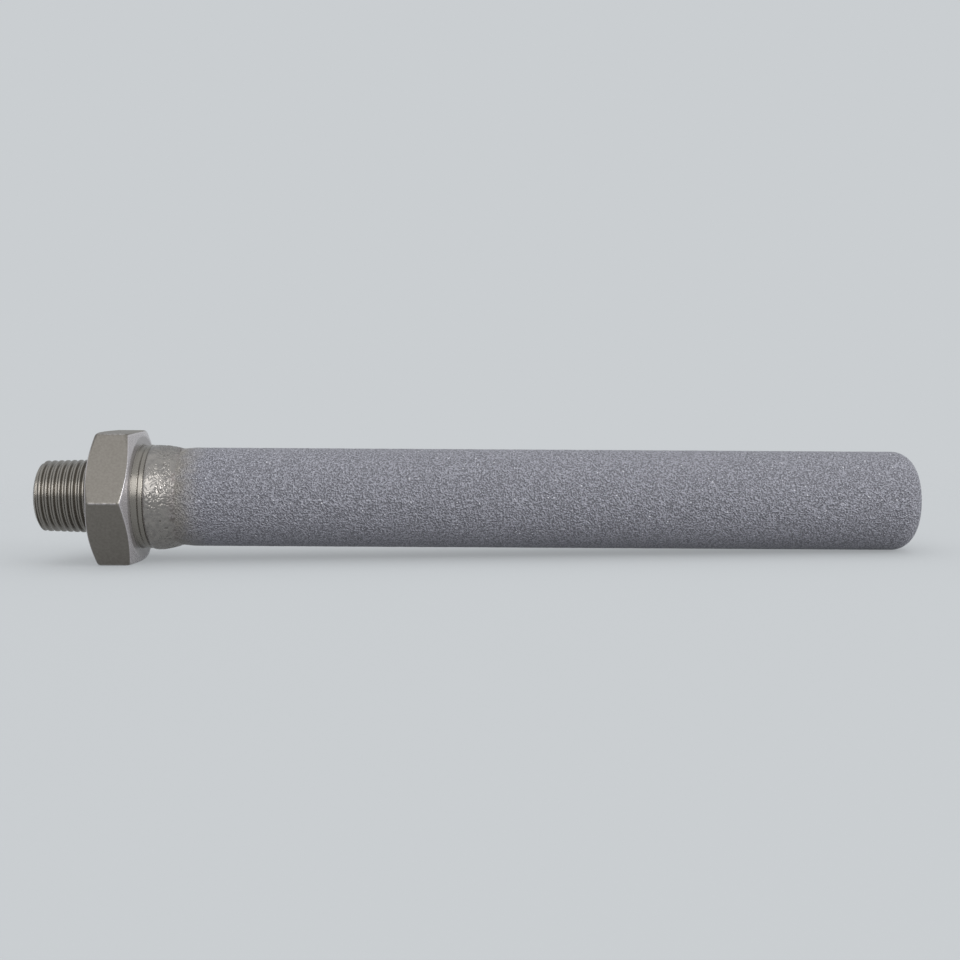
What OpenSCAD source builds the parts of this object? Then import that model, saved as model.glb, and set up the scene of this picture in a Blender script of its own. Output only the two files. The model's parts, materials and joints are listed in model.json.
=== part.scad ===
// Sintered filter element: a porous tube with one closed, rounded end, welded to a
// turned fitting that has a hexagon and a male taper pipe thread. Millimetres.
// The axis of the part is the X axis. The thread points to -X and the closed end to +X.
// The origin is on the axis, in the face of the hexagon that the thread stands on.
// One flat of the hexagon faces down.

/* [Pipe thread] */
// Length of the male thread, from its free end to the hexagon
thread_length = 16.6; // [14:0.1:24]
// Diameter over the thread's crests at its gauge plane
thread_gauge_d = 20.96; // [19:0.01:24]
// Distance from the free end of the thread to its gauge plane
thread_gauge_length = 8.2; // [6:0.1:11]
// Length over which the thread's diameter grows by one
thread_taper = 16; // [12:1:32]
// Length of the lead chamfer at the free end of the thread
lead_length = 1.2; // [0.6:0.1:2]
// Depth of the lead chamfer below the crests, along the radius
lead_depth = 1.9; // [0.8:0.1:2.2]

/* [Hexagon] */
// Width across the flats
hex_across_flats = 36; // [32:0.5:46]
// Thickness of the hexagon along the axis
hex_thickness = 11.5; // [8:0.1:18]
// Angle between the corner chamfers and the hexagon's end faces
hex_chamfer_angle = 21.5; // [15:0.5:35]
// Distance from the flats to the inner circles of the chamfers
hex_chamfer_inset = 0.9; // [0.1:0.1:2]

/* [Collar and spigot] */
// Length of the collar, from the hexagon to the end of the tube
collar_length = 3.1; // [2.4:0.1:8]
// Height of the collar above the tube's surface
collar_step = 0.7; // [0.4:0.05:1.2]
// Width of the chamfer on the collar's edge beside the weld
collar_chamfer = 0.25; // [0.1:0.05:0.4]
// Distance from the hexagon to the middle of the collar's turned groove
groove_position = 1.7; // [0.6:0.1:1.9]
// Width of the collar's turned groove
groove_width = 0.5; // [0.2:0.05:0.8]
// Depth of the collar's turned groove
groove_depth = 0.4; // [0.1:0.05:0.6]
// Length of the spigot inside the tube
spigot_length = 6; // [3:0.5:15]
// Radial clearance between the spigot and the tube's bore
spigot_clearance = 0.1; // [0.05:0.05:0.3]
// Width of the chamfer on the spigot's end
spigot_chamfer = 0.6; // [0.2:0.1:1.2]

/* [Bore] */
// Diameter of the bore through the fitting
bore_d = 13; // [8:0.1:15]
// Width of the chamfers at the two mouths of the bore
bore_chamfer = 0.5; // [0.2:0.1:0.8]

/* [Sintered tube] */
// Outside diameter of the tube
tube_d = 27.5; // [25:0.1:29]
// Wall thickness of the tube
tube_wall = 2.75; // [2:0.05:4]
// Length of the tube, from the collar to its closed end
tube_length = 212.4; // [60:0.1:500]
// Wall thickness of the closed end
tip_wall = 3.2; // [2:0.1:6]
// Radius of the rounding between the tube's side and its closed end
tip_rounding = 6; // [4.5:0.1:10]
// Radius of the closed end's shallow dome
tip_dome_radius = 60; // [30:1:400]

/* [Weld] */
// Length of the weld bead along the axis
weld_length = 8; // [4:0.1:14]
// Depth of the weld below the tube's surface where it meets the collar
weld_depth = 1.5; // [0.8:0.1:1.8]
// Rise of the bead's crown above the straight line between its two edges
weld_crown = 0.45; // [0.2:0.05:0.8]
// Lean of the crown: 1 puts it in the middle, less moves it towards the collar
weld_lean = 0.6; // [0.4:0.05:1]
// Depth of the neck that the heat leaves in the tube beside the weld
neck_depth = 0.3; // [0.05:0.01:0.5]
// Length of that neck
neck_length = 4; // [1:0.5:8]

/* [Hidden] */
$fn = 96;
// Number of straight steps along the bead's crown
crown_steps = 16;
// Smallest rounding inside the closed end
least_rounding = 0.8;
// How far a cut runs past the face that it opens
overcut = 1;

// Places along the axis
lead_x = -thread_length + lead_length;
gauge_x = -thread_length + thread_gauge_length;
groove_x = hex_thickness + groove_position;
collar_x = hex_thickness + collar_length;
spigot_x = collar_x + spigot_length;
weld_x = collar_x + weld_length;
neck_x = weld_x + neck_length;
tip_x = collar_x + tube_length;

// Radii
bore_r = bore_d / 2;
tube_r = tube_d / 2;
tube_bore_r = tube_r - tube_wall;
spigot_r = tube_bore_r - spigot_clearance;
collar_r = tube_r + collar_step;
lead_r = crest_r(-thread_length) - lead_depth;
weld_root_r = tube_r - weld_depth;
weld_edge_r = collar_r - collar_chamfer;
weld_toe_r = tube_r - neck_depth;

// Radius of the thread's crests at a place along the axis
function crest_r(x) = (thread_gauge_d + (x - gauge_x) / thread_taper) / 2;

// Point of the bead's crown, as radius and place, at a share of the bead's length
function crown_point(share) = [
    weld_edge_r + (weld_toe_r - weld_edge_r) * share + weld_crown * sin(180 * pow(share, weld_lean)),
    collar_x + weld_length * share
];

// Turns a half section, drawn as radius across and place along the axis up
module turned() {
    rotate([0, 90, 0]) rotate_extrude() children();
}

// Half section of a solid with a straight side, a rounding and a shallow domed end
module round_ended_section(radius, start, end, rounding, dome_r) {
    dome_x = end - dome_r;
    reach = dome_r - rounding;
    side_r = radius - rounding;
    side_x = dome_x + sqrt(reach * reach - side_r * side_r);
    // The dome and the rounding meet on the line through their two centres
    meet_r = side_r * (dome_r + overcut) / reach;
    meet_x = dome_x + (side_x - dome_x) * (dome_r + overcut) / reach;
    translate([0, start]) square([radius, side_x - start]);
    intersection() {
        translate([side_r, side_x]) circle(rounding);
        translate([side_r, side_x]) square(rounding);
    }
    intersection() {
        translate([0, dome_x]) circle(dome_r);
        polygon([[0, side_x], [side_r, side_x], [meet_r, meet_x], [0, meet_x]]);
    }
}

// Hexagon on the axis, with its two end faces chamfered at the corners
module chamfered_hexagon() {
    corner_r = hex_across_flats / 2 / cos(30);
    inner_r = hex_across_flats / 2 - hex_chamfer_inset;
    outer_r = corner_r + overcut;
    chamfer_length = (outer_r - inner_r) * tan(hex_chamfer_angle);
    intersection() {
        rotate([0, 90, 0]) rotate(30) cylinder(r = corner_r, h = hex_thickness, $fn = 6);
        turned() polygon([
            [0, 0],
            [inner_r, 0],
            [outer_r, chamfer_length],
            [outer_r, hex_thickness - chamfer_length],
            [inner_r, hex_thickness],
            [0, hex_thickness]
        ]);
    }
}

// Half section of what is turned on the fitting: thread blank, collar and spigot
module fitting_section() {
    polygon([
        [0, -thread_length],
        [lead_r, -thread_length],
        [crest_r(lead_x), lead_x],
        [crest_r(0), 0],
        [crest_r(0), hex_thickness / 2],
        [collar_r, hex_thickness / 2],
        [collar_r, groove_x - groove_width / 2],
        [collar_r - groove_depth, groove_x],
        [collar_r, groove_x + groove_width / 2],
        [collar_r, collar_x - collar_chamfer],
        [weld_edge_r, collar_x],
        [spigot_r, collar_x],
        [spigot_r, spigot_x - spigot_chamfer],
        [spigot_r - spigot_chamfer, spigot_x],
        [0, spigot_x]
    ]);
}

// Half section of the bore, opened past both of its chamfered mouths
module bore_section() {
    mouth_r = bore_r + bore_chamfer + overcut;
    polygon([
        [0, -thread_length - overcut],
        [mouth_r, -thread_length - overcut],
        [bore_r, -thread_length + bore_chamfer],
        [bore_r, spigot_x - bore_chamfer],
        [mouth_r, spigot_x + overcut],
        [0, spigot_x + overcut]
    ]);
}

module threaded_fitting() {
    color([0.60, 0.58, 0.56])
    difference() {
        union() {
            turned() fitting_section();
            chamfered_hexagon();
        }
        turned() bore_section();
    }
}

module weld_bead() {
    color([0.72, 0.69, 0.64])
    turned() polygon(concat(
        [[weld_root_r, collar_x]],
        [for (step = [0 : crown_steps]) crown_point(step / crown_steps)]
    ));
}

module sintered_tube() {
    inner_rounding = max(tip_rounding - tube_wall, least_rounding);
    color([0.56, 0.57, 0.60])
    turned() difference() {
        round_ended_section(tube_r, collar_x, tip_x, tip_rounding, tip_dome_radius);
        round_ended_section(tube_bore_r, collar_x - overcut, tip_x - tip_wall, inner_rounding,
            tip_dome_radius - tip_wall);
        // Bevel that the weld fills, and the neck beside it
        polygon([
            [weld_root_r, collar_x],
            [weld_toe_r, weld_x],
            [tube_r, neck_x],
            [tube_r + overcut, neck_x],
            [tube_r + overcut, collar_x - overcut],
            [weld_root_r, collar_x - overcut]
        ]);
    }
}

threaded_fitting();
weld_bead();
sintered_tube();
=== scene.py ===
"""Looks of a sintered filter element: a turned pipe fitting, a weld bead and a porous metal tube.

The axis of the element is the X axis. Angles run round it from +Y towards +Z. Lengths are metres.
"""

from __future__ import annotations

import json
import logging
import math
from dataclasses import dataclass
from enum import Enum
from typing import Any, ClassVar, Sequence

import bpy
import numpy as np
from mathutils import Matrix, Vector

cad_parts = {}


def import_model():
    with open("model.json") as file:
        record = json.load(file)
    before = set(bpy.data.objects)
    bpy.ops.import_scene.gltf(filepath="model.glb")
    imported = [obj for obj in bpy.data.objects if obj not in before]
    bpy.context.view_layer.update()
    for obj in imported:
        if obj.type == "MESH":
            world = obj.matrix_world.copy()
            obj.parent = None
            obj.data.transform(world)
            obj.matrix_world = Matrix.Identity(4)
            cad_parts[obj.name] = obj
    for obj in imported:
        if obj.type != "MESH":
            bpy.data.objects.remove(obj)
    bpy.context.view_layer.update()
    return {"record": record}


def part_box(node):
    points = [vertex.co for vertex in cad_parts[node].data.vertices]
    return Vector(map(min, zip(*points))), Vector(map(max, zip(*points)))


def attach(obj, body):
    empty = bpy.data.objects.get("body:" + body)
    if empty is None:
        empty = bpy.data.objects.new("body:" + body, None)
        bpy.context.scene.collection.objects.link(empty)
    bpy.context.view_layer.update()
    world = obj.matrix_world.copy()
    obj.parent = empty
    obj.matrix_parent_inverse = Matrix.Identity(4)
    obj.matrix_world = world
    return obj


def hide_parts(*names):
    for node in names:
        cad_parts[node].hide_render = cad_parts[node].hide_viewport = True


LOG = logging.getLogger("filter_element")
MM = 0.001
BODY = "root"

Colour = tuple[float, float, float]
Span = tuple[float, float]


class CadNode(Enum):
    """Solids of the frame that the dressed pieces stand for."""

    FITTING = "threaded_fitting"
    WELD = "weld_bead"
    TUBE = "sintered_tube"


class Slot(Enum):
    """Material slots of the record."""

    TURNED = "turned_metal"
    WELD = "weld_metal"
    SINTERED = "sintered_metal"


# Reproducible noise on whole arrays

CELL_FACTORS = (374761393, 668265263, 2246822519)
SEED_FACTOR = 3266489917
MIX_FACTORS = (1274126177, 2654435769, 3432918353)
MIX_SHIFTS = (15, 13)
WHOLE_RANGE = 2**32
CLOUD_GAIN = 1.6
BEYOND_ALL = 9.0


def cell_numbers(cells: np.ndarray, seed: int) -> np.ndarray:
    """Mix whole cell coordinates into three fixed numbers from 0 to 1 for each cell.

    The coordinates, each times a large factor, are added up with the seed. Shifts and products of the sum,
    each kept to 32 bits, give one number after another.

    Args:
        cells: Whole numbers, with the three coordinates on the last axis.
        seed: Chooses one of many unlike patterns.

    Returns:
        An array of the same shape, with values from 0 to 1.
    """
    first_shift, second_shift = (np.uint32(shift) for shift in MIX_SHIFTS)
    numbers = []
    with np.errstate(over="ignore"):
        whole = cells.astype(np.int64).astype(np.uint32)
        mixed = np.sum(whole * np.array(CELL_FACTORS, dtype=np.uint32), axis=-1, dtype=np.uint32)
        mixed = mixed + np.uint32(seed * SEED_FACTOR % WHOLE_RANGE)
        for factor in MIX_FACTORS:
            mixed = (mixed ^ (mixed >> first_shift)) * np.uint32(factor)
            mixed = mixed ^ (mixed >> second_shift)
            numbers.append(mixed / float(WHOLE_RANGE))
    return np.stack(numbers, axis=-1)


def cloud_noise(points: np.ndarray, seed: int) -> np.ndarray:
    """Smooth noise: a random slope in each lattice corner, blended with the curve 6t^5 - 15t^4 + 10t^3.

    Args:
        points: Places in units of the noise's own wavelength, coordinates on the last axis.
        seed: Chooses one of many unlike patterns.

    Returns:
        Values of about -1 to 1, one for each place.
    """
    base = np.floor(points)
    part = points - base
    blend = part**3 * (part * (part * 6 - 15) + 10)
    total = np.zeros(points.shape[:-1])
    for corner in np.ndindex(2, 2, 2):
        step = np.array(corner)
        slope = cell_numbers(base + step, seed) * 2 - 1
        height = np.sum(slope * (part - step), axis=-1)
        total += height * np.prod(np.where(step == 1, blend, 1 - blend), axis=-1)
    return total * CLOUD_GAIN


def grain_noise(points: np.ndarray, seed: int) -> np.ndarray:
    """Distance to the nearest of many scattered grain centres, one in each cell of a lattice.

    Args:
        points: Places in units of the cell's size, coordinates on the last axis.
        seed: Chooses one of many unlike patterns.

    Returns:
        Distances in cells, one for each place.
    """
    base = np.floor(points)
    nearest = np.full(points.shape[:-1], BEYOND_ALL)
    for offset in np.ndindex(3, 3, 3):
        cell = base + np.array(offset) - 1
        away = cell + cell_numbers(cell, seed) - points
        nearest = np.minimum(nearest, np.sum(away * away, axis=-1))
    return np.sqrt(nearest)


def smooth_step(values: np.ndarray, low: float, high: float) -> np.ndarray:
    """Rise from 0 at low to 1 at high along 3t^2 - 2t^3, flat beyond both.

    Args:
        values: Numbers to look up.
        low: Where the rise begins.
        high: Where it ends.

    Returns:
        Values from 0 to 1, in the shape of the numbers.
    """
    t = np.clip((values - low) / (high - low), 0.0, 1.0)
    return t * t * (3 - 2 * t)


# Surfaces carried round the axis

EASE_LIMIT = 0.3
FLAT_HOLD = 1.6
NO_FANS = np.zeros((0, 3), dtype=np.int32)


@dataclass(frozen=True)
class Knot:
    """One corner of a half section; x and radius may change round the axis, and ease softens it."""

    x: float | np.ndarray
    radius: float | np.ndarray
    ease: float = 0.0
    steps: int = 5


def eased_rows(knots: Sequence[Knot], columns: int) -> np.ndarray:
    """Rows of a closed half section with softened corners.

    A corner p becomes (1-t)^2 a + 2t(1-t) p + t^2 b, where a and b lie one ease before and after it on its
    two straight sides, and never further than EASE_LIMIT of the shorter side. One more row beyond each of
    them, at FLAT_HOLD eases, keeps the sides flat in smooth shading.

    Args:
        knots: Corners in order; the last joins the first.
        columns: Number of places round the axis.

    Returns:
        An array of rows by columns by (x, radius).
    """
    corners = np.stack(
        [np.stack(np.broadcast_arrays(k.x, k.radius, np.zeros(columns))[:2], axis=-1) for k in knots]
    )
    rows = []
    for knot, p, before, after in zip(knots, corners, np.roll(corners, 1, 0), np.roll(corners, -1, 0)):
        if knot.ease == 0:
            rows.append(p[None])
            continue
        back_length = np.linalg.norm(before - p, axis=-1, keepdims=True)
        on_length = np.linalg.norm(after - p, axis=-1, keepdims=True)
        ease = np.minimum(knot.ease, EASE_LIMIT * np.minimum(back_length, on_length))
        back, on = ease * (before - p) / back_length, ease * (after - p) / on_length
        t = np.linspace(0, 1, knot.steps)[:, None, None]
        curve = (1 - t) ** 2 * (p + back) + 2 * t * (1 - t) * p + t**2 * (p + on)
        rows += [(p + FLAT_HOLD * back)[None], curve, (p + FLAT_HOLD * on)[None]]
    return np.concatenate(rows)


def carried_round(rows: np.ndarray, angles: np.ndarray) -> np.ndarray:
    """Turn rows of (x, radius) into places: x stays, y is radius cos angle, z is radius sin angle.

    Args:
        rows: Rows by columns by (x, radius).
        angles: Angles of the columns.

    Returns:
        An array of rows by columns by (x, y, z).
    """
    x, radius = rows[..., 0], rows[..., 1]
    return np.stack(np.broadcast_arrays(x, radius * np.cos(angles), radius * np.sin(angles)), axis=-1)


def grid_quads(rows: int, columns: int, close_rows: bool) -> np.ndarray:
    """Corner numbers of the quads of a grid that is closed round the axis.

    Args:
        rows: Number of rows along the section.
        columns: Number of columns round the axis.
        close_rows: Whether the last row joins the first.

    Returns:
        An array of quads by four vertex numbers, facing outwards.
    """
    i = np.arange(rows if close_rows else rows - 1)[:, None]
    j = np.arange(columns)[None, :]
    i_next, j_next = (i + 1) % rows, (j + 1) % columns
    corners = (i * columns + j, i * columns + j_next, i_next * columns + j_next, i_next * columns + j)
    return np.stack(np.broadcast_arrays(*corners), axis=-1).reshape(-1, 4)


def mesh_object(name: str, places: np.ndarray, quads: np.ndarray, fans: np.ndarray) -> bpy.types.Object:
    """Put a worked-out surface into a smooth-shaded mesh object at the origin.

    Args:
        name: Name of the piece.
        places: Vertex places, coordinates on the last axis.
        quads: Quads as four vertex numbers each.
        fans: Triangles as three vertex numbers each, such as those round a pole.

    Returns:
        The new object, linked to the scene.
    """
    mesh = bpy.data.meshes.new(name)
    flat = places.reshape(-1, 3)
    loops = np.concatenate([quads.ravel(), fans.ravel()]).astype(np.int32)
    sizes = np.concatenate([np.full(len(quads), 4), np.full(len(fans), 3)])
    starts = np.concatenate([[0], np.cumsum(sizes)[:-1]]).astype(np.int32)
    mesh.vertices.add(len(flat))
    mesh.vertices.foreach_set("co", flat.astype(np.float32).ravel())
    mesh.loops.add(len(loops))
    mesh.loops.foreach_set("vertex_index", loops)
    mesh.polygons.add(len(sizes))
    mesh.polygons.foreach_set("loop_start", starts)
    mesh.update(calc_edges=True)
    mesh.validate()
    mesh.shade_smooth()
    piece = bpy.data.objects.new(name, mesh)
    bpy.context.scene.collection.objects.link(piece)
    return piece


# Writing of materials


class NodeSheet:
    """Writes nodes and links into one node tree."""

    def __init__(self, tree: bpy.types.NodeTree) -> None:
        """Keep the tree that is written into."""
        self.tree = tree

    def add(
        self, kind: str, inputs: dict[str | int, Any] | None = None, **settings: Any
    ) -> bpy.types.Node:
        """Add a node.

        Args:
            kind: Blender's name of the node's type.
            inputs: Socket names or numbers, with a plain value or a socket to link from.
            settings: The node's own options.

        Returns:
            The new node.
        """
        node = self.tree.nodes.new(kind)
        for name, value in settings.items():
            setattr(node, name, value)
        for name, value in (inputs or {}).items():
            self.put(node, name, value)
        return node

    def put(self, node: bpy.types.Node, name: str | int, value: Any) -> None:
        """Give one input of a node a plain value, or link a socket to it.

        Args:
            node: The node.
            name: Name or number of its input.
            value: A number, a vector, a colour of three numbers, or a socket to link from.
        """
        socket = node.inputs[name]
        if isinstance(value, bpy.types.NodeSocket):
            self.tree.links.new(value, socket)
        elif socket.type == "RGBA":
            socket.default_value = (*value, 1.0)
        else:
            socket.default_value = value

    def math(self, operation: str, first: Any, second: Any = 0.0) -> bpy.types.NodeSocket:
        """Add a Math node and return its result."""
        return self.add("ShaderNodeMath", {0: first, 1: second}, operation=operation).outputs[0]

    def length(self, operation: str, first: Any, second: Any) -> bpy.types.NodeSocket:
        """Add two Vector Math nodes and return the length of what the first makes of two vectors."""
        made = self.add("ShaderNodeVectorMath", {0: first, 1: second}, operation=operation)
        return self.add("ShaderNodeVectorMath", {0: made.outputs[0]}, operation="LENGTH").outputs["Value"]

    def ramp(
        self, value: Any, low: Any, high: Any, to_low: float = 0.0, to_high: float = 1.0
    ) -> bpy.types.NodeSocket:
        """Add a smooth Map Range node from low..high to to_low..to_high and return its result."""
        given = {"Value": value, "From Min": low, "From Max": high, "To Min": to_low, "To Max": to_high}
        return self.add("ShaderNodeMapRange", given, interpolation_type="SMOOTHSTEP").outputs[0]

    def mix(self, share: Any, first: Any, second: Any, blend: str = "MIX") -> bpy.types.NodeSocket:
        """Add a colour Mix node.

        Args:
            share: How much of the second colour shows, from 0 to 1.
            first: Colour or socket at a share of 0.
            second: Colour or socket at a share of 1.
            blend: Blender's name of the way of mixing.

        Returns:
            The mixed colour.
        """
        node = self.add("ShaderNodeMix", {0: share}, data_type="RGBA", blend_type=blend)
        colours = [number for number, socket in enumerate(node.inputs) if socket.type == "RGBA"]
        for number, value in zip(colours, (first, second)):
            self.put(node, number, value)
        return next(socket for socket in node.outputs if socket.type == "RGBA")

    def bump(self, height: Any, depth: float, strength: Any) -> bpy.types.NodeSocket:
        """Add a Bump node and return its normal."""
        given = {"Height": height, "Distance": depth, "Strength": strength}
        return self.add("ShaderNodeBump", given).outputs[0]

    def group(self, shared: bpy.types.NodeTree, inputs: dict[str | int, Any]) -> bpy.types.Node:
        """Place a shared node group with its own values."""
        return self.add("ShaderNodeGroup", inputs, node_tree=shared)


def clean_sheet(owner: bpy.types.Material | bpy.types.World) -> NodeSheet:
    """Switch on the nodes of a material or world and clear them.

    Args:
        owner: The material or world.

    Returns:
        A sheet for its nodes.
    """
    owner.use_nodes = True
    owner.node_tree.nodes.clear()
    return NodeSheet(owner.node_tree)


def new_group(
    name: str, inputs: dict[str, float | None], outputs: Sequence[str]
) -> tuple[NodeSheet, Any, bpy.types.Node]:
    """Start a shader node group.

    Args:
        name: Name of the group.
        inputs: Socket names with their first values; None makes a vector socket.
        outputs: Names of the value sockets that it puts out.

    Returns:
        A sheet for its nodes, the outputs of its Group Input node, and its Group Output node.
    """
    tree = bpy.data.node_groups.new(name, "ShaderNodeTree")
    for socket, value in inputs.items():
        kind = "NodeSocketVector" if value is None else "NodeSocketFloat"
        made = tree.interface.new_socket(socket, in_out="INPUT", socket_type=kind)
        if value is not None:
            made.default_value = value
    for socket in outputs:
        tree.interface.new_socket(socket, in_out="OUTPUT", socket_type="NodeSocketFloat")
    return NodeSheet(tree), tree.nodes.new("NodeGroupInput").outputs, tree.nodes.new("NodeGroupOutput")


def start_material(
    slot: Slot,
) -> tuple[NodeSheet, bpy.types.Node, bpy.types.NodeSocket, bpy.types.Material]:
    """Start a material with a Principled shader.

    Args:
        slot: Material slot that the material is named after.

    Returns:
        Its sheet, its Principled node, the Object coordinates and the material.
    """
    material = bpy.data.materials.new(slot.value)
    sheet = clean_sheet(material)
    shader = sheet.add("ShaderNodeBsdfPrincipled")
    sheet.add("ShaderNodeOutputMaterial", {"Surface": shader.outputs[0]})
    places = sheet.add("ShaderNodeTexCoord").outputs["Object"]
    return sheet, shader, places, material


# Effects that finishes share


@dataclass(frozen=True)
class PackedGrains:
    """Domed cells over an even unrest, as packed metal grains look; the low places get a darker tone, as
    painted shade in the hollows.
    """

    grain_size: float = 0.8 * MM
    randomness: float = 0.85
    dome_width: float = 0.8
    dome_height: float = 0.6
    unrest_detail: float = 1.0
    unrest_roughness: float = 0.5
    unrest_range: Span = (0.25, 0.75)
    tone_range: Span = (0.15, 1.25)
    facet_range: Span = (0.2, 0.6)
    painted_glint_range: Span = (0.988, 0.996)

    def group(self) -> bpy.types.NodeTree:
        """Build the node group.

        Returns:
            A group that puts out the height, a tone from painted shade in the hollows to the grain tops, and
            a mask of painted glints on a few facets.
        """
        sheet, given, out = new_group(
            "packed_grains", {"Vector": None, "Grain Size": self.grain_size}, ("Height", "Tone", "Painted Glint")
        )
        per_metre = sheet.math("DIVIDE", 1.0, given["Grain Size"])
        at = {"Vector": given["Vector"], "Scale": per_metre}
        cells = sheet.add("ShaderNodeTexVoronoi", {**at, "Randomness": self.randomness})
        unrest = sheet.add(
            "ShaderNodeTexNoise", {**at, "Detail": self.unrest_detail, "Roughness": self.unrest_roughness}
        )
        dome = sheet.ramp(cells.outputs["Distance"], 0.0, self.dome_width, self.dome_height, 0.0)
        height = sheet.math("ADD", dome, sheet.ramp(unrest.outputs[0], *self.unrest_range))
        sheet.put(out, "Height", height)
        # Tone: darker where the height is low, as painted shade in the hollows between grains.
        sheet.put(out, "Tone", sheet.ramp(height, *self.tone_range))
        # Painted glints: a few cells, chosen at random, get a bright spot of colour at their middle.
        chance = sheet.add("ShaderNodeSeparateColor", {0: cells.outputs["Color"]}).outputs[0]
        facet = sheet.ramp(cells.outputs["Distance"], *self.facet_range, 1.0, 0.0)
        sheet.put(out, "Painted Glint", sheet.math("MULTIPLY", sheet.ramp(chance, *self.painted_glint_range), facet))
        return sheet.tree


@dataclass(frozen=True)
class HeatTint:
    """Mask that is full on one side of the weld's edge and fades along the axis with a ragged edge."""

    fade_to: float = 10.0 * MM
    raggedness: float = 2.0 * MM
    waves_per_metre: float = 260.0
    wave_detail: float = 3.0

    def group(self) -> bpy.types.NodeTree:
        """Build the node group.

        Returns:
            A group that puts out the mask.
        """
        sheet, given, out = new_group(
            "heat_tint",
            {"Vector": None, "From": 0.0, "To": self.fade_to, "Raggedness": self.raggedness},
            ("Mask",),
        )
        place = sheet.add("ShaderNodeSeparateXYZ", {0: given["Vector"]})
        wave = sheet.add(
            "ShaderNodeTexNoise",
            {"Vector": given["Vector"], "Scale": self.waves_per_metre, "Detail": self.wave_detail},
        )
        shift = sheet.math("MULTIPLY", sheet.math("SUBTRACT", wave.outputs[0], 0.5), given["Raggedness"])
        along = sheet.math("ADD", place.outputs["X"], shift)
        sheet.put(out, "Mask", sheet.ramp(along, given["From"], given["To"], 1.0, 0.0))
        return sheet.tree


@dataclass(frozen=True)
class SoftPatches:
    """Soft patches, from 0 to 1, that break up an even finish."""

    patch_size: float = 4.0 * MM
    detail: float = 3.0
    roughness: float = 0.6
    noise_range: Span = (0.3, 0.7)

    def group(self) -> bpy.types.NodeTree:
        """Build the node group.

        Returns:
            A group that puts out the mask.
        """
        sheet, given, out = new_group(
            "soft_patches", {"Vector": None, "Patch Size": self.patch_size}, ("Mask",)
        )
        per_metre = sheet.math("DIVIDE", 1.0, given["Patch Size"])
        at = {"Vector": given["Vector"], "Scale": per_metre}
        noise = sheet.add("ShaderNodeTexNoise", {**at, "Detail": self.detail, "Roughness": self.roughness})
        sheet.put(out, "Mask", sheet.ramp(noise.outputs[0], *self.noise_range))
        return sheet.tree


class Effects:
    """Node groups that more than one finish uses, built once."""

    def __init__(self) -> None:
        """Build every shared effect."""
        self.grains = PackedGrains().group()
        self.heat = HeatTint().group()
        self.patches = SoftPatches().group()


# Finishes


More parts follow.
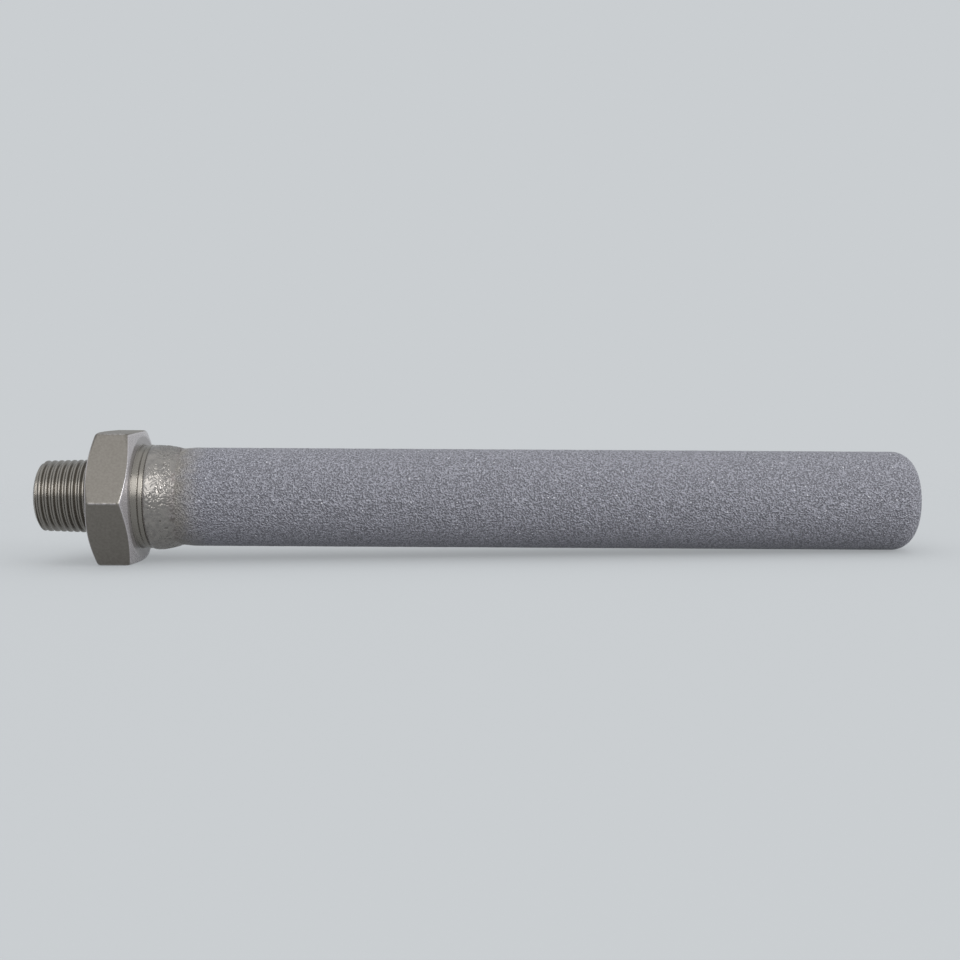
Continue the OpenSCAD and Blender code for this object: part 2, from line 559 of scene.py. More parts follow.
@dataclass(frozen=True)
class TurnedFinish:
    """Satin turned and milled titanium, with bright cut metal on the chamfers; the worn corners also carry a
    painted highlight, and the end faces are lightened as painted reflected light.

    The chamfer, corner and face bands are depths under those surfaces between which the bright metal, the
    painted corner highlight and the painted face light end.
    """

    turned: Colour = (0.244, 0.2275, 0.204)
    colour: Colour = (0.18, 0.166, 0.147)
    worn: Colour = (0.222, 0.206, 0.185)
    bright: Colour = (0.35, 0.336, 0.344)
    bright_scatter: float = 0.5
    face_light_share: float = 0.7
    corner_highlight_share: Span = (0.2, 0.65)
    turned_roughness: float = 0.24
    milled_roughness: float = 0.44
    speck_roughness: float = 0.06
    speck_size: float = 0.6 * MM
    milled_from: float = 14.6 * MM
    milled_blend: float = 0.2 * MM
    chamfer_band: Span = (0.12 * MM, 0.24 * MM)
    corner_band: Span = (0.1 * MM, 0.01 * MM)
    face_band: Span = (0.08 * MM, 0.02 * MM)
    line_pitch: float = 0.22 * MM
    line_breaks: float = 25.0
    line_detail: float = 2.0
    mark_depth: float = 0.003 * MM
    mark_strength: float = 0.6

    def material(self, effects: Effects, fitting: ThreadedFitting) -> bpy.types.Material:
        """Build the material: dull flats, with bright metal on the chamfers' cones, a painted highlight on
        the worn corners and painted light on the end faces.

        Args:
            effects: The shared node groups.
            fitting: The piece, whose sizes place the bright metal.

        Returns:
            The finished material.
        """
        sheet, shader, places, material = start_material(Slot.TURNED)
        specks = sheet.group(effects.patches, {"Vector": places, "Patch Size": self.speck_size}).outputs[0]
        radius = sheet.length("MULTIPLY", places, (0.0, 1.0, 1.0))
        along = sheet.add("ShaderNodeSeparateXYZ", {0: places}).outputs["X"]
        offset = sheet.math("SUBTRACT", along, fitting.hex_thickness / 2)
        milled = self._milled(sheet, radius, offset, fitting)
        dull = sheet.mix(milled, self.turned, sheet.mix(specks, self.colour, self.worn))
        # Mask of bright chamfer metal, with a painted highlight on the corners and painted reflected light on
        # the end faces.
        cut = self._cut_and_painted_light(sheet, radius, offset, specks, fitting)
        rubbed_and_painted_light = sheet.math("MULTIPLY", cut, milled)
        sheet.put(shader, "Base Color", sheet.mix(rubbed_and_painted_light, dull, self.bright))
        flats = sheet.math("SUBTRACT", milled, rubbed_and_painted_light)
        rougher = sheet.math("MULTIPLY", flats, self.milled_roughness - self.turned_roughness)
        finish = sheet.math("ADD", rougher, self.turned_roughness)
        speckled = sheet.math("MULTIPLY", specks, self.speck_roughness)
        sheet.put(shader, "Roughness", sheet.math("ADD", finish, speckled))
        sheet.put(shader, "Normal", self._marks(sheet, places))
        scatter = sheet.math("MULTIPLY", rubbed_and_painted_light, self.bright_scatter)
        sheet.put(shader, "Metallic", sheet.math("SUBTRACT", 1.0, scatter))
        return material

    def _milled(
        self, sheet: NodeSheet, radius: Any, offset: Any, fitting: ThreadedFitting
    ) -> bpy.types.NodeSocket:
        """Mask of the hexagon's metal, outside the thread on one side and outside the collar on the other.

        Args:
            sheet: The material's sheet.
            radius: Distance from the axis.
            offset: Place along the axis from the hexagon's middle.
            fitting: The piece.

        Returns:
            The mask.
        """
        quarter = fitting.hex_thickness / 4
        turned_out_to = sheet.ramp(offset, -quarter, quarter, fitting.crest_radius(0.0), self.milled_from)
        return sheet.ramp(sheet.math("SUBTRACT", radius, turned_out_to), 0.0, self.milled_blend)

    def _cut_and_painted_light(
        self, sheet: NodeSheet, radius: Any, offset: Any, specks: Any, fitting: ThreadedFitting
    ) -> bpy.types.NodeSocket:
        """Mask of the bright metal on chamfers, with a painted highlight on the corners and painted reflected
        light on the end faces.

        On a chamfer's cone, the distance from the hexagon's middle plus the radius times the cone's slope is
        the same everywhere. What a place lacks to that sum is its depth under the cone.

        Args:
            sheet: The material's sheet.
            radius: Distance from the axis.
            offset: Place along the axis from the hexagon's middle.
            specks: Patches that wear the corners, and vary their painted highlight, unevenly.
            fitting: The piece.

        Returns:
            The mask.
        """
        half, slope = fitting.hex_thickness / 2, math.tan(fitting.chamfer_angle)
        insets = (fitting.thread_side_inset, fitting.chamfer_inset)
        near, far = (half + (fitting.sizes.flat_radius - inset) * slope for inset in insets)
        from_middle = sheet.math("ABSOLUTE", offset)
        reach = sheet.math("ADD", from_middle, sheet.math("MULTIPLY", radius, slope))
        cone = sheet.ramp(offset, -half / 2, half / 2, near, far)
        chamfer = sheet.ramp(sheet.math("SUBTRACT", cone, reach), *self.chamfer_band, 1.0, 0.0)
        # Painted highlight along the rounded corners, uneven where the specks wear them.
        rim = sheet.ramp(radius, *(fitting.corner_radius() - band for band in self.corner_band))
        corner = sheet.math("MULTIPLY", rim, sheet.ramp(specks, 0.0, 1.0, *self.corner_highlight_share))
        # Painted reflected light: the end faces are lightened evenly all round, part of the way towards the
        # bright colour.
        face = sheet.ramp(from_middle, *(half - band for band in self.face_band), 0.0, self.face_light_share)
        return sheet.math("MAXIMUM", sheet.math("MAXIMUM", chamfer, corner), face)

    def _marks(self, sheet: NodeSheet, places: Any) -> bpy.types.NodeSocket:
        """Fine tool marks: noise squeezed along the axis, so that it runs in rings.

        Args:
            sheet: The material's sheet.
            places: Object coordinates.

        Returns:
            The normal that the marks give.
        """
        scale = (1.0 / self.line_pitch, self.line_breaks, self.line_breaks)
        squeezed = sheet.add("ShaderNodeMapping", {"Vector": places, "Scale": scale}).outputs[0]
        given = {"Vector": squeezed, "Scale": 1.0, "Detail": self.line_detail}
        lines = sheet.add("ShaderNodeTexNoise", given).outputs[0]
        return sheet.bump(lines, self.mark_depth, self.mark_strength)


@dataclass(frozen=True)
class WeldFinish:
    """Bright, rippled weld metal with a straw tint where it runs into the tube, painted shade in its creases
    and in the hollows of its heat-tinted grains.
    """

    colour: Colour = (0.32, 0.3, 0.28)
    dull: Colour = (0.24, 0.228, 0.217)
    tint: Colour = (0.31, 0.285, 0.28)
    # Colour of the painted shade in the hollows between the heat-tinted grains.
    pitted_shade: Colour = (0.15, 0.135, 0.125)
    # Colour of the painted shade in the ripples' creases.
    crease: Colour = (0.12, 0.11, 0.10)
    roughness: Span = (0.16, 0.34)
    heat_roughness: float = 0.16
    patch_size: float = 1.6 * MM
    heat_span: Span = (1.0 * MM, -1.4 * MM)
    raggedness: float = 5.0 * MM
    grain_size: float = 0.72 * MM
    grain_depth: float = 0.09 * MM
    grain_strength: float = 0.7

    def material(self, effects: Effects, sizes: ElementSizes) -> bpy.types.Material:
        """Build the material.

        Args:
            effects: The shared node groups.
            sizes: Places of the weld along the axis.

        Returns:
            The finished material.
        """
        sheet, shader, places, material = start_material(Slot.WELD)
        patches = sheet.group(effects.patches, {"Vector": places, "Patch Size": self.patch_size}).outputs[0]
        start, end = (sizes.weld_x + shift for shift in self.heat_span)
        heat = sheet.group(
            effects.heat, {"Vector": places, "From": start, "To": end, "Raggedness": self.raggedness}
        ).outputs[0]
        grains = sheet.group(effects.grains, {"Vector": places, "Grain Size": self.grain_size})
        # Painted shade: the colour darkens in the creases of the ripples.
        crease_shade = sheet.add("ShaderNodeAttribute", attribute_name=WeldBead.CREASE_SHADE).outputs["Fac"]
        metal = sheet.mix(crease_shade, sheet.mix(patches, self.colour, self.dull), self.crease)
        # Heat-tinted grains, with painted shade in their hollows.
        worn = sheet.mix(grains.outputs["Tone"], self.pitted_shade, self.tint)
        sheet.put(shader, "Base Color", sheet.mix(heat, metal, worn))
        rough = sheet.ramp(patches, 0.0, 1.0, *self.roughness)
        rougher = sheet.math("MULTIPLY", heat, self.heat_roughness)
        sheet.put(shader, "Roughness", sheet.math("ADD", rough, rougher))
        relief = sheet.math("MULTIPLY", grains.outputs["Height"], heat)
        sheet.put(shader, "Normal", sheet.bump(relief, self.grain_depth, self.grain_strength))
        sheet.put(shader, "Metallic", 1.0)
        return material


@dataclass(frozen=True)
class SinteredFinish:
    """Matte, granular sintered titanium, browned and partly fused by heat beside the weld, with painted shade
    in the hollows between grains and a few painted glints.
    """

    colour: Colour = (0.302, 0.304, 0.344)
    # Colour of the painted shade in the hollows between grains.
    pore_shade: Colour = (0.136, 0.136, 0.154)
    tint: Colour = (0.82, 0.765, 0.62)
    painted_glint: Colour = (0.6, 0.6, 0.64)
    roughness: float = 0.55
    heat_gloss: float = 0.15
    metallic: float = 0.45
    heat_span: Span = (-1.0 * MM, 9.0 * MM)
    raggedness: float = 7.0 * MM
    fused_share: float = 0.5
    fused_tone: float = 0.5
    grain_size: float = 0.5 * MM
    grain_depth: float = 0.36 * MM

    def material(self, effects: Effects, sizes: ElementSizes) -> bpy.types.Material:
        """Build the material.

        Args:
            effects: The shared node groups.
            sizes: Places of the weld along the axis.

        Returns:
            The finished material.
        """
        sheet, shader, places, material = start_material(Slot.SINTERED)
        grains = sheet.group(effects.grains, {"Vector": places, "Grain Size": self.grain_size}).outputs
        start, end = (sizes.weld_x + shift for shift in self.heat_span)
        heat = sheet.group(
            effects.heat, {"Vector": places, "From": start, "To": end, "Raggedness": self.raggedness}
        ).outputs[0]
        fused = sheet.math("MULTIPLY", heat, self.fused_share)
        # Tone from the painted shade of the hollows to the grain tops; fused grains beside the weld are
        # evened out.
        tone = sheet.add("ShaderNodeMix", {0: fused, 2: grains["Tone"], 3: self.fused_tone}).outputs[0]
        # Painted glints: a few facets get a bright colour.
        metal = sheet.mix(grains["Painted Glint"], sheet.mix(tone, self.pore_shade, self.colour), self.painted_glint)
        sheet.put(shader, "Base Color", sheet.mix(heat, metal, self.tint, "MULTIPLY"))
        gloss = sheet.math("MULTIPLY", heat, self.heat_gloss)
        sheet.put(shader, "Roughness", sheet.math("SUBTRACT", self.roughness, gloss))
        strength = sheet.math("SUBTRACT", 1.0, fused)
        sheet.put(shader, "Normal", sheet.bump(grains["Height"], self.grain_depth, strength))
        sheet.put(shader, "Metallic", self.metallic)
        return material


# Pieces of the element


@dataclass(frozen=True)
class ElementSizes:
    """Places and radii that the pieces share, read from the frame."""

    thread_end: float
    spigot_end: float
    flat_radius: float
    collar_x: float
    weld_x: float
    tip_x: float
    tube_radius: float
    bore_radius: float

    @classmethod
    def from_frame(cls, record: dict[str, Any]) -> ElementSizes:
        """Read the sizes from the solids' boxes and the record's bore.

        Args:
            record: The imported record.

        Returns:
            The sizes in metres.
        """
        fitting_low, fitting_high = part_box(CadNode.FITTING.value)
        weld_low, weld_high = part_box(CadNode.WELD.value)
        _, tube_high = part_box(CadNode.TUBE.value)
        bore = next(m for m in record["mounts"] if m["kind"] == "bore")
        return cls(
            thread_end=fitting_low.x,
            spigot_end=fitting_high.x,
            flat_radius=fitting_high.z,
            collar_x=weld_low.x,
            weld_x=weld_high.x,
            tip_x=tube_high.x,
            tube_radius=tube_high.z,
            bore_radius=bore["dims"]["r_mm"] * MM,
        )


@dataclass
class ThreadedFitting:
    """Turned fitting: taper pipe thread, chamfered hexagon, ringed collar, spigot and bore.

    The corner columns are places beside a corner, in units of the angle that half of its rounding takes up.
    """

    SIXTH: ClassVar[float] = math.radians(60)
    TWELFTH: ClassVar[float] = math.radians(30)

    sizes: ElementSizes
    hex_thickness: float = 11.5 * MM
    chamfer_angle: float = math.radians(21.5)
    chamfer_inset: float = 0.9 * MM
    thread_side_inset: float = 0.5 * MM
    corner_round: float = 0.6 * MM
    corner_columns: tuple[float, ...] = (-2.0, -1.0, -0.5, 0.0, 0.5, 1.0, 2.0)
    flat_columns: int = 36
    edge_ease: float = 0.11 * MM
    chamfer_ease: float = 0.25 * MM
    corner_ease: float = 1.2 * MM
    corner_steps: int = 9
    thread_pitch: float = 1.814 * MM
    thread_depth: float = 0.76 * MM
    thread_flat: float = 0.2
    thread_flank: float = 0.6
    thread_softness: float = 0.5
    crest_wear: float = 0.42 * MM
    gauge_radius: float = 10.48 * MM
    gauge_length: float = 8.2 * MM
    thread_taper: float = 16.0
    lead_length: float = 1.2 * MM
    lead_depth: float = 1.9 * MM
    run_out: float = 1.1 * MM
    rows_per_pitch: int = 18
    collar_radius: float = 14.45 * MM
    collar_root_ease: float = 0.2 * MM
    collar_chamfer: float = 0.25 * MM
    collar_edge_ease: float = 0.08 * MM
    weld_edge_ease: float = 0.05 * MM
    groove_x: float = 1.7 * MM
    groove_width: float = 0.5 * MM
    groove_depth: float = 0.4 * MM
    groove_ease: float = 0.06 * MM
    land_fall: float = 0.2 * MM
    spigot_radius: float = 10.9 * MM
    spigot_chamfer: float = 0.6 * MM
    bore_chamfer: float = 0.5 * MM

    def half_rounding(self) -> float:
        """Angle between the tip of a rounded corner and the place where its rounding runs into a flat."""
        flat = self.sizes.flat_radius
        return self.TWELFTH - math.atan((flat - self.corner_round) * math.tan(self.TWELFTH) / flat)

    def angles(self) -> np.ndarray:
        """Angles of the columns: even over the flats, close together at the hexagon's six corners.

        Returns:
            The angles, in order round the axis.
        """
        corner = self.half_rounding() * np.array(self.corner_columns)
        flat = np.linspace(corner[-1], self.SIXTH + corner[0], self.flat_columns)[1:-1]
        sector = np.concatenate([corner, flat])
        return (np.arange(6)[:, None] * self.SIXTH + sector[None, :]).ravel()

    def corner_centre(self) -> float:
        """Distance of a corner rounding's centre from the axis."""
        return (self.sizes.flat_radius - self.corner_round) / math.cos(self.TWELFTH)

    def corner_radius(self) -> float:
        """Radius at the tip of a rounded corner."""
        return self.corner_centre() + self.corner_round

    def hex_radius(self, angles: np.ndarray) -> np.ndarray:
        """Radius of a hexagon with rounded corners.

        A flat has radius a / cos of the angle from its middle. A corner is a circle of the rounding's radius
        q about a point at c, so its radius is c cos d + sqrt(q^2 - c^2 sin^2 d) at an angle d from it.

        Args:
            angles: Angles round the axis, with corners at multiples of 60 degrees.

        Returns:
            The radii.
        """
        from_corner = np.abs((angles + self.TWELFTH) % self.SIXTH - self.TWELFTH)
        flat = self.sizes.flat_radius / np.cos(self.TWELFTH - from_corner)
        centre = self.corner_centre()
        inside = np.maximum(self.corner_round**2 - (centre * np.sin(from_corner)) ** 2, 0.0)
        corner = centre * np.cos(from_corner) + np.sqrt(inside)
        return np.where(from_corner < self.half_rounding(), corner, flat)

    def crest_radius(self, x: Any) -> Any:
        """Radius of the thread's crests: the gauge radius plus half the taper's share of the way from it.

        Args:
            x: Place along the axis, or an array of places.

        Returns:
            The radius, or an array of radii.
        """
        gauge_x = self.sizes.thread_end + self.gauge_length
        return self.gauge_radius + (x - gauge_x) / (2 * self.thread_taper)

    def lead_radius(self) -> float:
        """Radius of the thread's free end, inside its lead chamfer."""
        return self.crest_radius(self.sizes.thread_end) - self.lead_depth

    def thread_rows(self, angles: np.ndarray) -> np.ndarray:
        """Rows of the thread.

        The phase is x over the pitch less the share of a turn, which makes a right-hand helix. The depth is a
        triangle wave of the phase, cut flat at crest and root and softened. A cone at the free end cuts the
        first turn, and the depth fades out at the hexagon.

        Args:
            angles: Angles of the columns.

        Returns:
            An array of rows by columns by (x, radius).
        """
        start = self.sizes.thread_end
        count = int(-start / self.thread_pitch * self.rows_per_pitch)
        x = np.linspace(start, 0.0, count + 2)[1:-1, None]
        phase = (x / self.thread_pitch - angles[None, :] / math.tau) % 1.0
        wave = np.clip((np.abs(2 * phase - 1) - self.thread_flat) / self.thread_flank, 0.0, 1.0)
        soft = self.thread_softness
        cut = (1 - soft) * wave + soft * smooth_step(wave, 0.0, 1.0)
        fade = smooth_step(-x, 0.0, self.run_out)
        radius = self.crest_radius(x) - self.crest_wear - self.thread_depth * cut * fade
        slope = self.lead_depth / self.lead_length
        radius = np.minimum(radius, self.lead_radius() + (x - start) * slope)
        return np.stack(np.broadcast_arrays(x, radius), axis=-1)

    def section(self, angles: np.ndarray) -> np.ndarray:
        """Closed half section at every angle, from the hexagon round to the thread.

        A chamfer ends where its cone meets the hexagon, so it is (radius - inner radius) tan angle long.

        Args:
            angles: Angles of the columns.

        Returns:
            An array of rows by columns by (x, radius).
        """
        s, ease = self.sizes, self.edge_ease
        near, far = s.flat_radius - self.thread_side_inset, s.flat_radius - self.chamfer_inset
        hexagon = self.hex_radius(angles)
        slope = math.tan(self.chamfer_angle)
        thick, collar = self.hex_thickness, self.collar_radius
        groove = thick + self.groove_x
        mouth = s.bore_radius + self.bore_chamfer
        knots = [
            Knot(0.0, self.crest_radius(0.0)),
            Knot(0.0, near, self.chamfer_ease),
            Knot((hexagon - near) * slope, hexagon, self.corner_ease, self.corner_steps),
            Knot(thick - (hexagon - far) * slope, hexagon, self.corner_ease, self.corner_steps),
            Knot(thick, far, self.chamfer_ease),
            Knot(thick, collar, self.collar_root_ease),
            Knot(groove - self.groove_width / 2, collar - self.land_fall, ease),
            Knot(groove, collar - self.groove_depth, self.groove_ease),
            Knot(groove + self.groove_width / 2, collar, ease),
            Knot(s.collar_x - self.collar_chamfer, collar, self.collar_edge_ease),
            Knot(s.collar_x, collar - self.collar_chamfer, self.weld_edge_ease),
            Knot(s.collar_x, self.spigot_radius, ease),
            Knot(s.spigot_end - self.spigot_chamfer, self.spigot_radius, ease),
            Knot(s.spigot_end, self.spigot_radius - self.spigot_chamfer, ease),
            Knot(s.spigot_end, mouth, ease),
            Knot(s.spigot_end - self.bore_chamfer, s.bore_radius, ease),
            Knot(s.thread_end + self.bore_chamfer, s.bore_radius, ease),
            Knot(s.thread_end, mouth, ease),
            Knot(s.thread_end, self.lead_radius()),
        ]
        return np.concatenate([eased_rows(knots, len(angles)), self.thread_rows(angles)])

    def build(self) -> bpy.types.Object:
        """Build the mesh.

        Returns:
            The fitting's object.
        """
        angles = self.angles()
        places = carried_round(self.section(angles), angles[None, :])
        quads = grid_quads(places.shape[0], places.shape[1], close_rows=True)
        return mesh_object("fitting", places, quads, NO_FANS)

    def dress(self, piece: bpy.types.Object, finish: TurnedFinish, effects: Effects) -> None:
        """Give the fitting its finish and its place in the frame."""
        piece.data.materials.append(finish.material(effects, self))
        join_frame(piece, CadNode.FITTING)


@dataclass
class WeldBead:
    """Ring of fused metal between the collar and the tube.

    Spans are shares of the bead's length, from 0 at the collar to 1 at the tube.
    """

    CREASE_SHADE: ClassVar[str] = "crease_shade"
    WARP_SEEDS: ClassVar[tuple[int, ...]] = (11, 12, 13)
    RIDGE_SEEDS: ClassVar[tuple[int, ...]] = (21, 22)
    SWELL_SEED: ClassVar[int] = 23

    sizes: ElementSizes
    depth: float = 1.5 * MM
    edge_radius: float = 14.2 * MM
    neck_depth: float = 0.3 * MM
    crown: float = 0.45 * MM
    lean: float = 0.6
    sag: float = 0.2 * MM
    overrun: float = 0.9 * MM
    sink: float = 0.14 * MM
    sink_from: float = 0.94
    lift_share: float = 0.4
    ripple: float = 0.15 * MM
    ripple_size: float = 0.95 * MM
    warp: float = 0.9
    warp_size: float = 2.2 * MM
    fine_times: float = 2.1
    fine_share: float = 0.5
    swell: float = 0.06 * MM
    swell_size: float = 3.5 * MM
    swell_fade: Span = (0.6, 1.0)
    start_span: Span = (0.0, 0.15)
    calm_share: float = 0.42
    lively_share: float = 0.58
    lively_span: Span = (0.12, 0.58)
    end_loss: float = 0.6
    end_span: Span = (0.8, 1.0)
    crease_shade_range: Span = (-0.2, 0.7)
    columns: int = 560
    rows: int = 92

    def ridges(self, places: np.ndarray) -> np.ndarray:
        """Height of the ripples' ridges: one minus twice the size of a warped noise, at two sizes.

        Args:
            places: Places on the smooth bead.

        Returns:
            The heights, about 1 on a ridge and less than 0 in a crease.
        """
        warp = np.stack([cloud_noise(places / self.warp_size, seed) for seed in self.WARP_SEEDS], axis=-1)
        at = places / self.ripple_size + self.warp * warp
        large, fine = self.RIDGE_SEEDS
        ridges = 1 - 2 * np.abs(cloud_noise(at, large))
        return ridges + self.fine_share * (1 - 2 * np.abs(cloud_noise(at * self.fine_times, fine)))

    def crown_rows(self, angles: np.ndarray) -> tuple[np.ndarray, np.ndarray]:
        """Rows of the bead's crown.

        With u from 0 at the collar to 1 at the tube, the radius is the straight line between the two edges
        plus the crown's rise times sin(pi u^lean). The bead sagged, so its crown is lower on its upper side
        and higher on its lower side. Ripples and a slow swell grow from the collar and calm down at the tube,
        where the bead runs on a little and sinks into the tube's surface.

        Args:
            angles: Angles of the columns.

        Returns:
            An array of rows by columns by (x, radius), and how deep in a crease each place lies, from 0 to 1,
            which darkens the colour there as painted shade.
        """
        s = self.sizes
        u = np.linspace(0.0, 1.0 + self.overrun / (s.weld_x - s.collar_x), self.rows)[:, None]
        x = s.collar_x + (s.weld_x - s.collar_x) * u
        toe = s.tube_radius - self.neck_depth
        arch = np.sin(math.pi * np.minimum(u, 1.0) ** self.lean)
        smooth = self.edge_radius + (toe - self.edge_radius) * np.minimum(u, 1.0) + self.crown * arch
        smooth = smooth - self.sag * arch * np.sin(angles)[None, :]
        places = carried_round(np.stack(np.broadcast_arrays(x, smooth), axis=-1), angles[None, :])
        ridges = self.ridges(places)
        slow = cloud_noise(places / self.swell_size, self.SWELL_SEED)
        swell = slow * (1 - smooth_step(u, *self.swell_fade))
        lively = self.calm_share + self.lively_share * smooth_step(u, *self.lively_span)
        strength = smooth_step(u, *self.start_span) * lively
        strength = strength * (1 - self.end_loss * smooth_step(u, *self.end_span))
        radius = smooth + strength * (self.ripple * ridges + self.swell * swell)
        radius = radius - self.sink * smooth_step(u, self.sink_from, u[-1, 0]) + self.lift_share * self.sink
        # How deep in a crease each place lies, for painted shade in the material.
        low, high = self.crease_shade_range
        crease_shade = strength * smooth_step(-ridges, low, high)
        return np.stack(np.broadcast_arrays(x, radius), axis=-1), crease_shade

    def build(self) -> bpy.types.Object:
        """Build the mesh, with how deep each place lies in a crease as an attribute, for painted shade.

        Returns:
            The bead's object.
        """
        angles = np.linspace(0.0, math.tau, self.columns, endpoint=False)
        root = np.zeros((1, self.columns, 2))
        root[..., 0] = self.sizes.collar_x
        root[..., 1] = self.sizes.tube_radius - self.depth
        crown, crease_shade = self.crown_rows(angles)
        places = carried_round(np.concatenate([root, crown]), angles[None, :])
        quads = grid_quads(places.shape[0], places.shape[1], close_rows=True)
        piece = mesh_object("weld", places, quads, NO_FANS)
        values = np.concatenate([np.zeros(self.columns), crease_shade.ravel()])
        layer = piece.data.attributes.new(self.CREASE_SHADE, "FLOAT", "POINT")
        layer.data.foreach_set("value", values.astype(np.float32))
        return piece

    def dress(self, piece: bpy.types.Object, finish: WeldFinish, effects: Effects) -> None:
        """Give the bead its finish and its place in the frame."""
        piece.data.materials.append(finish.material(effects, self.sizes))
        join_frame(piece, CadNode.WELD)


@dataclass
class SinteredTube:
    """Hollow porous tube with a closed, rounded end."""

    GRAIN_SEEDS: ClassVar[tuple[int, ...]] = (31, 32, 33)

    sizes: ElementSizes
    wall: float = 2.75 * MM
    tip_wall: float = 3.2 * MM
    tip_round: float = 6.0 * MM
    dome_radius: float = 60.0 * MM
    weld_depth: float = 1.5 * MM
    neck_depth: float = 0.3 * MM
    neck_length: float = 4.0 * MM
    spacing: float = 0.5 * MM
    inner_spacing: float = 3.0 * MM
    arc_steps: float = 1.4
    least_steps: int = 6
    columns: int = 168
    grain_size: float = 1.25 * MM
    grain_height: float = 0.05 * MM
    grain_middle: float = 0.45
    small_size: float = 0.6
    small_share: float = 0.5
    uneven_size: float = 5.0
    uneven_share: float = 0.3
    grains_from: float = 1.5 * MM

    def side_section(
        self, radius: float, start: float, end: float, rounding: float, dome: float, spacing: float
    ) -> np.ndarray:
        """Half section of a straight side, a rounding and a shallow domed end.

        The rounding's circle touches the dome's circle from inside, so their centres are dome - rounding
        apart, and they meet on the line through both centres.

        Args:
            radius: Radius of the side.
            start: Where the side begins.
            end: Where the dome crosses the axis.
            rounding: Radius of the rounding.
            dome: Radius of the dome.
            spacing: Distance between rows.

        Returns:
            Points as (x, radius), from the start to just short of the axis.
        """
        dome_x = end - dome
        side_radius = radius - rounding
        side_x = dome_x + math.sqrt((dome - rounding) ** 2 - side_radius**2)
        tilt = math.asin(side_radius / (dome - rounding))
        side = np.linspace(start, side_x, max(int((side_x - start) / spacing), 2))[:-1]
        arc_count = max(int(rounding * self.arc_steps / spacing), self.least_steps)
        arc = np.linspace(math.pi / 2, tilt, arc_count)
        cap = np.linspace(tilt, 0.0, max(int(dome * tilt / spacing), self.least_steps))[1:-1]
        x = np.concatenate([side, side_x + rounding * np.cos(arc), dome_x + dome * np.cos(cap)])
        around = np.full(len(side), radius)
        r = np.concatenate([around, side_radius + rounding * np.sin(arc), dome * np.sin(cap)])
        return np.stack([x, r], axis=-1)

    def grains(self, places: np.ndarray) -> np.ndarray:
        """Height of the grains: domed cells of two sizes over a soft unevenness.

        Args:
            places: Places on the smooth tube.

        Returns:
            The heights.
        """
        large_seed, small_seed, uneven_seed = self.GRAIN_SEEDS
        large = self.grain_middle - grain_noise(places / self.grain_size, large_seed)
        small = self.grain_middle - grain_noise(places / (self.small_size * self.grain_size), small_seed)
        uneven = cloud_noise(places / (self.uneven_size * self.grain_size), uneven_seed)
        return self.grain_height * (large + self.small_share * small + self.uneven_share * uneven)

    def half_sections(self) -> tuple[np.ndarray, np.ndarray]:
        """Half sections of the inside and the outside.

        Returns:
            Points as (x, radius): from the inner pole to the bevel's root, and from the weld to the
            outer pole.
        """
        s = self.sizes
        outer = self.side_section(
            s.tube_radius, s.weld_x, s.tip_x, self.tip_round, self.dome_radius, self.spacing
        )
        neck = 1 - smooth_step(outer[:, 0], s.weld_x, s.weld_x + self.neck_length)
        outer[:, 1] -= self.neck_depth * neck
        inner = self.side_section(
            s.tube_radius - self.wall,
            s.collar_x,
            s.tip_x - self.tip_wall,
            self.tip_round - self.wall,
            self.dome_radius - self.tip_wall,
            self.inner_spacing,
        )[::-1]
        root = np.array([[s.collar_x, s.tube_radius - self.weld_depth]])
        return np.concatenate([inner, root]), outer

    def pole_fans(self, rows: int) -> np.ndarray:
        """Triangles that close the two poles, whose vertices follow those of the grid.

        Args:
            rows: Number of rows of the grid.

        Returns:
            An array of triangles by three vertex numbers, facing outwards.
        """
        around = np.arange(self.columns)
        after = (around + 1) % self.columns
        last = (rows - 1) * self.columns
        inner_pole = np.full(self.columns, rows * self.columns)
        inside = np.stack([inner_pole, after, around], axis=-1)
        outside = np.stack([inner_pole + 1, last + around, last + after], axis=-1)
        return np.concatenate([inside, outside])

    def build(self) -> bpy.types.Object:
        """Build the mesh: the inside, the end with its bevel, then the outer skin from the weld to the tip.

        The grains raise the skin along the half section's normal, and grow from nothing beside the weld.

        Returns:
            The tube's object.
        """
        s = self.sizes
        angles = np.linspace(0.0, math.tau, self.columns, endpoint=False)
        inner, outer = self.half_sections()
        profile = np.concatenate([inner, outer])
        along = np.gradient(profile, axis=0)
        normal = np.stack([-along[:, 1], along[:, 0]], axis=-1)
        normal /= np.linalg.norm(normal, axis=-1, keepdims=True)
        rows = np.repeat(profile[:, None, :], self.columns, axis=1)
        first = len(inner)
        grown = smooth_step(outer[:, 0], s.weld_x, s.weld_x + self.grains_from)[:, None]
        relief = self.grains(carried_round(rows[first:], angles[None, :])) * grown
        rows[first:] += relief[..., None] * normal[first:, None, :]
        places = carried_round(rows, angles[None, :]).reshape(-1, 3)
        poles = np.array([[s.tip_x - self.tip_wall, 0.0, 0.0], [s.tip_x, 0.0, 0.0]])
        quads = grid_quads(len(profile), self.columns, close_rows=False)
        return mesh_object("tube", np.concatenate([places, poles]), quads, self.pole_fans(len(profile)))

    def dress(self, piece: bpy.types.Object, finish: SinteredFinish, effects: Effects) -> None:
        """Give the tube its finish and its place in the frame."""
        piece.data.materials.append(finish.material(effects, self.sizes))
        join_frame(piece, CadNode.TUBE)


def join_frame(piece: bpy.types.Object, node: CadNode) -> None:
    """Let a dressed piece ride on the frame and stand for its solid.

    Args:
        piece: The dressed piece.
        node: The solid that it stands for.
    """
    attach(piece, BODY)
    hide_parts(node.value)
    LOG.info("piece %s: %d faces, stands for %s", piece.name, len(piece.data.polygons), node.value)


# Stage, light and camera


